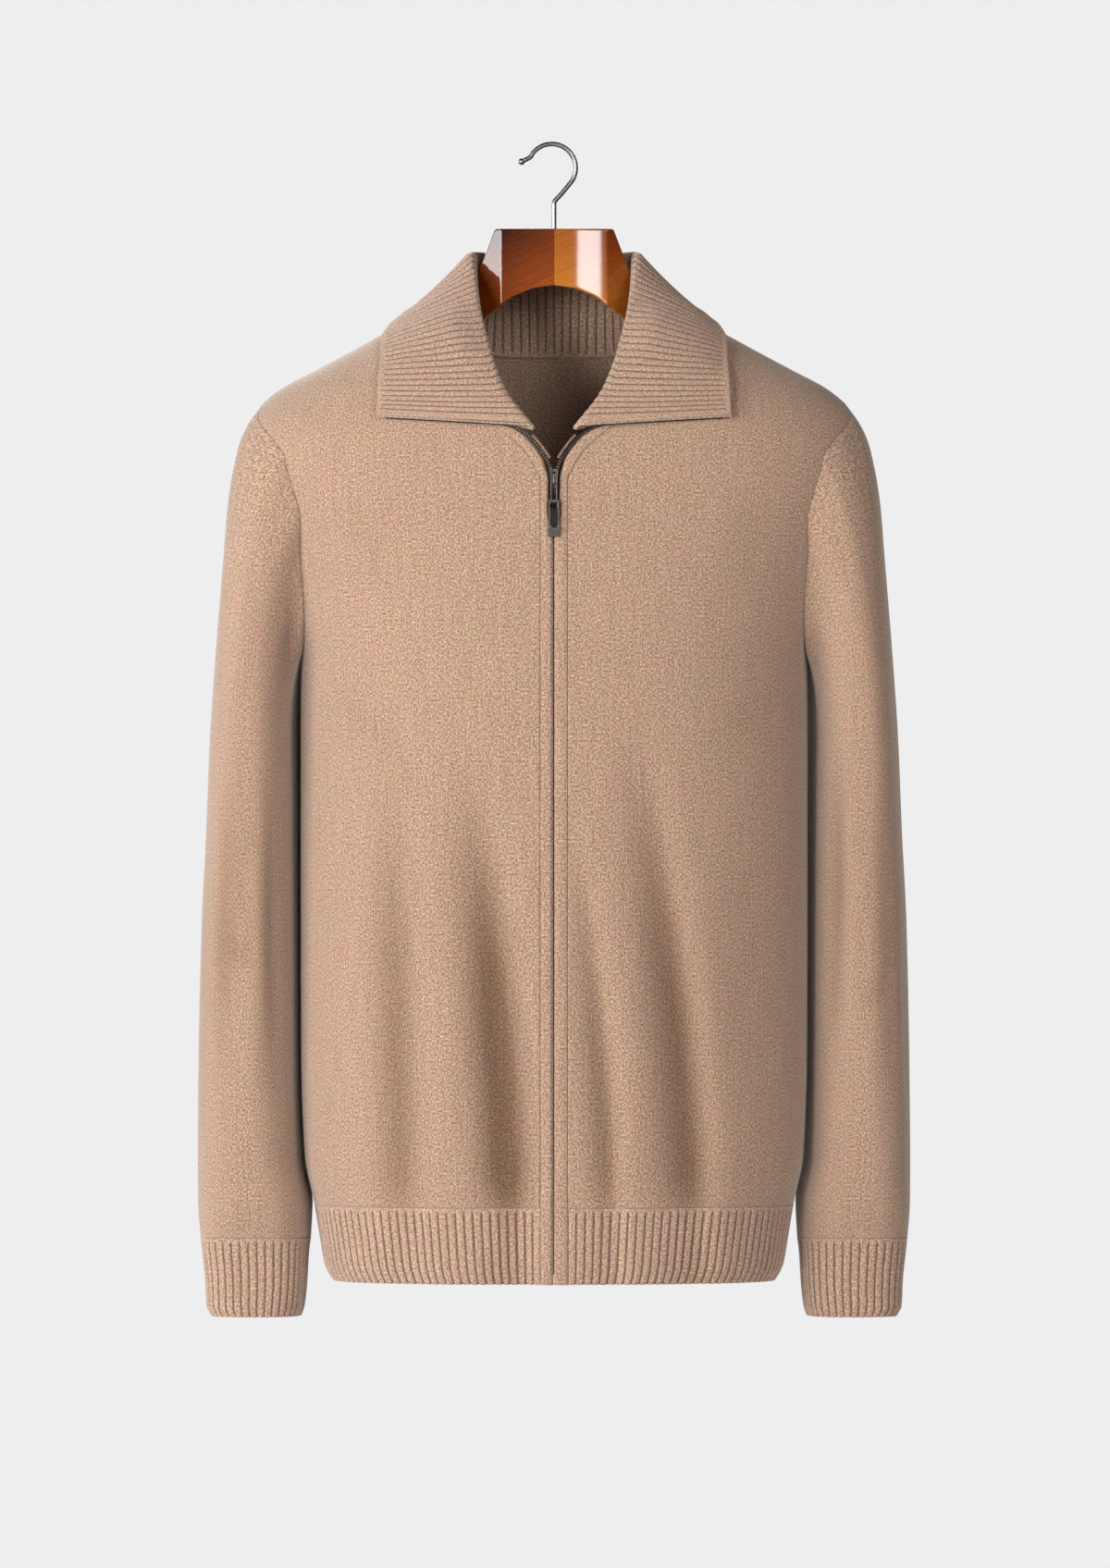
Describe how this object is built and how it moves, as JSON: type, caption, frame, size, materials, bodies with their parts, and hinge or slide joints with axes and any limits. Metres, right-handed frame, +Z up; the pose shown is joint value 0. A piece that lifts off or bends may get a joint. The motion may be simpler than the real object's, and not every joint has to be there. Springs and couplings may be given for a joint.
{
  "type": "funnel neck zip cardigan on a wooden hanger",
  "caption": "Knitted full-zip cardigan with a ribbed funnel collar turned down over the shoulders, ribbed cuffs and hem, hanging hollow on a varnished wooden hanger with a steel hook.",
  "frame": {"origin": "the inner crown of the hanger's hook, where a rail carries it", "axes": "+Z up, the garment's front faces -Y, the wearer's left is +X"},
  "size_m": [0.516, 0.2154, 0.851],
  "materials": {
    "plain_knit": "heathered fine wool stockinette, soft and slightly fuzzy",
    "ribbed_knit": "heathered wool rib, wide ridges and narrow grooves",
    "zip_tape": "woven polyester tape",
    "zip_metal": "gun-metal plating, satin",
    "varnished_wood": "red-brown stain under a gloss varnish",
    "polished_steel": "polished wire"
  },
  "bodies": {
    "cardigan": {"front_left": "plain_knit", "front_right": "plain_knit", "back": "plain_knit", "sleeve_left": "plain_knit", "sleeve_right": "plain_knit", "cuff_left": "ribbed_knit", "cuff_right": "ribbed_knit", "hem": "ribbed_knit", "collar": "ribbed_knit", "edge_left": "plain_knit", "edge_right": "plain_knit", "facing_left": "plain_knit", "facing_right": "plain_knit", "tape_left": "zip_tape", "tape_right": "zip_tape", "teeth_left": "zip_metal", "teeth_right": "zip_metal", "slider": "zip_metal", "hanger_wood": "varnished_wood", "hanger_hook": "polished_steel"},
    "pull": {"pull_tab": "zip_metal"}
  },
  "joints": [
    {"name": "pull_hinge", "type": "hinge", "parent": "cardigan", "child": "pull", "pos_m": [0, -0.1063, -0.2467], "axis": [-1, 0, 0], "range_deg": [0, 165]}
  ]
}
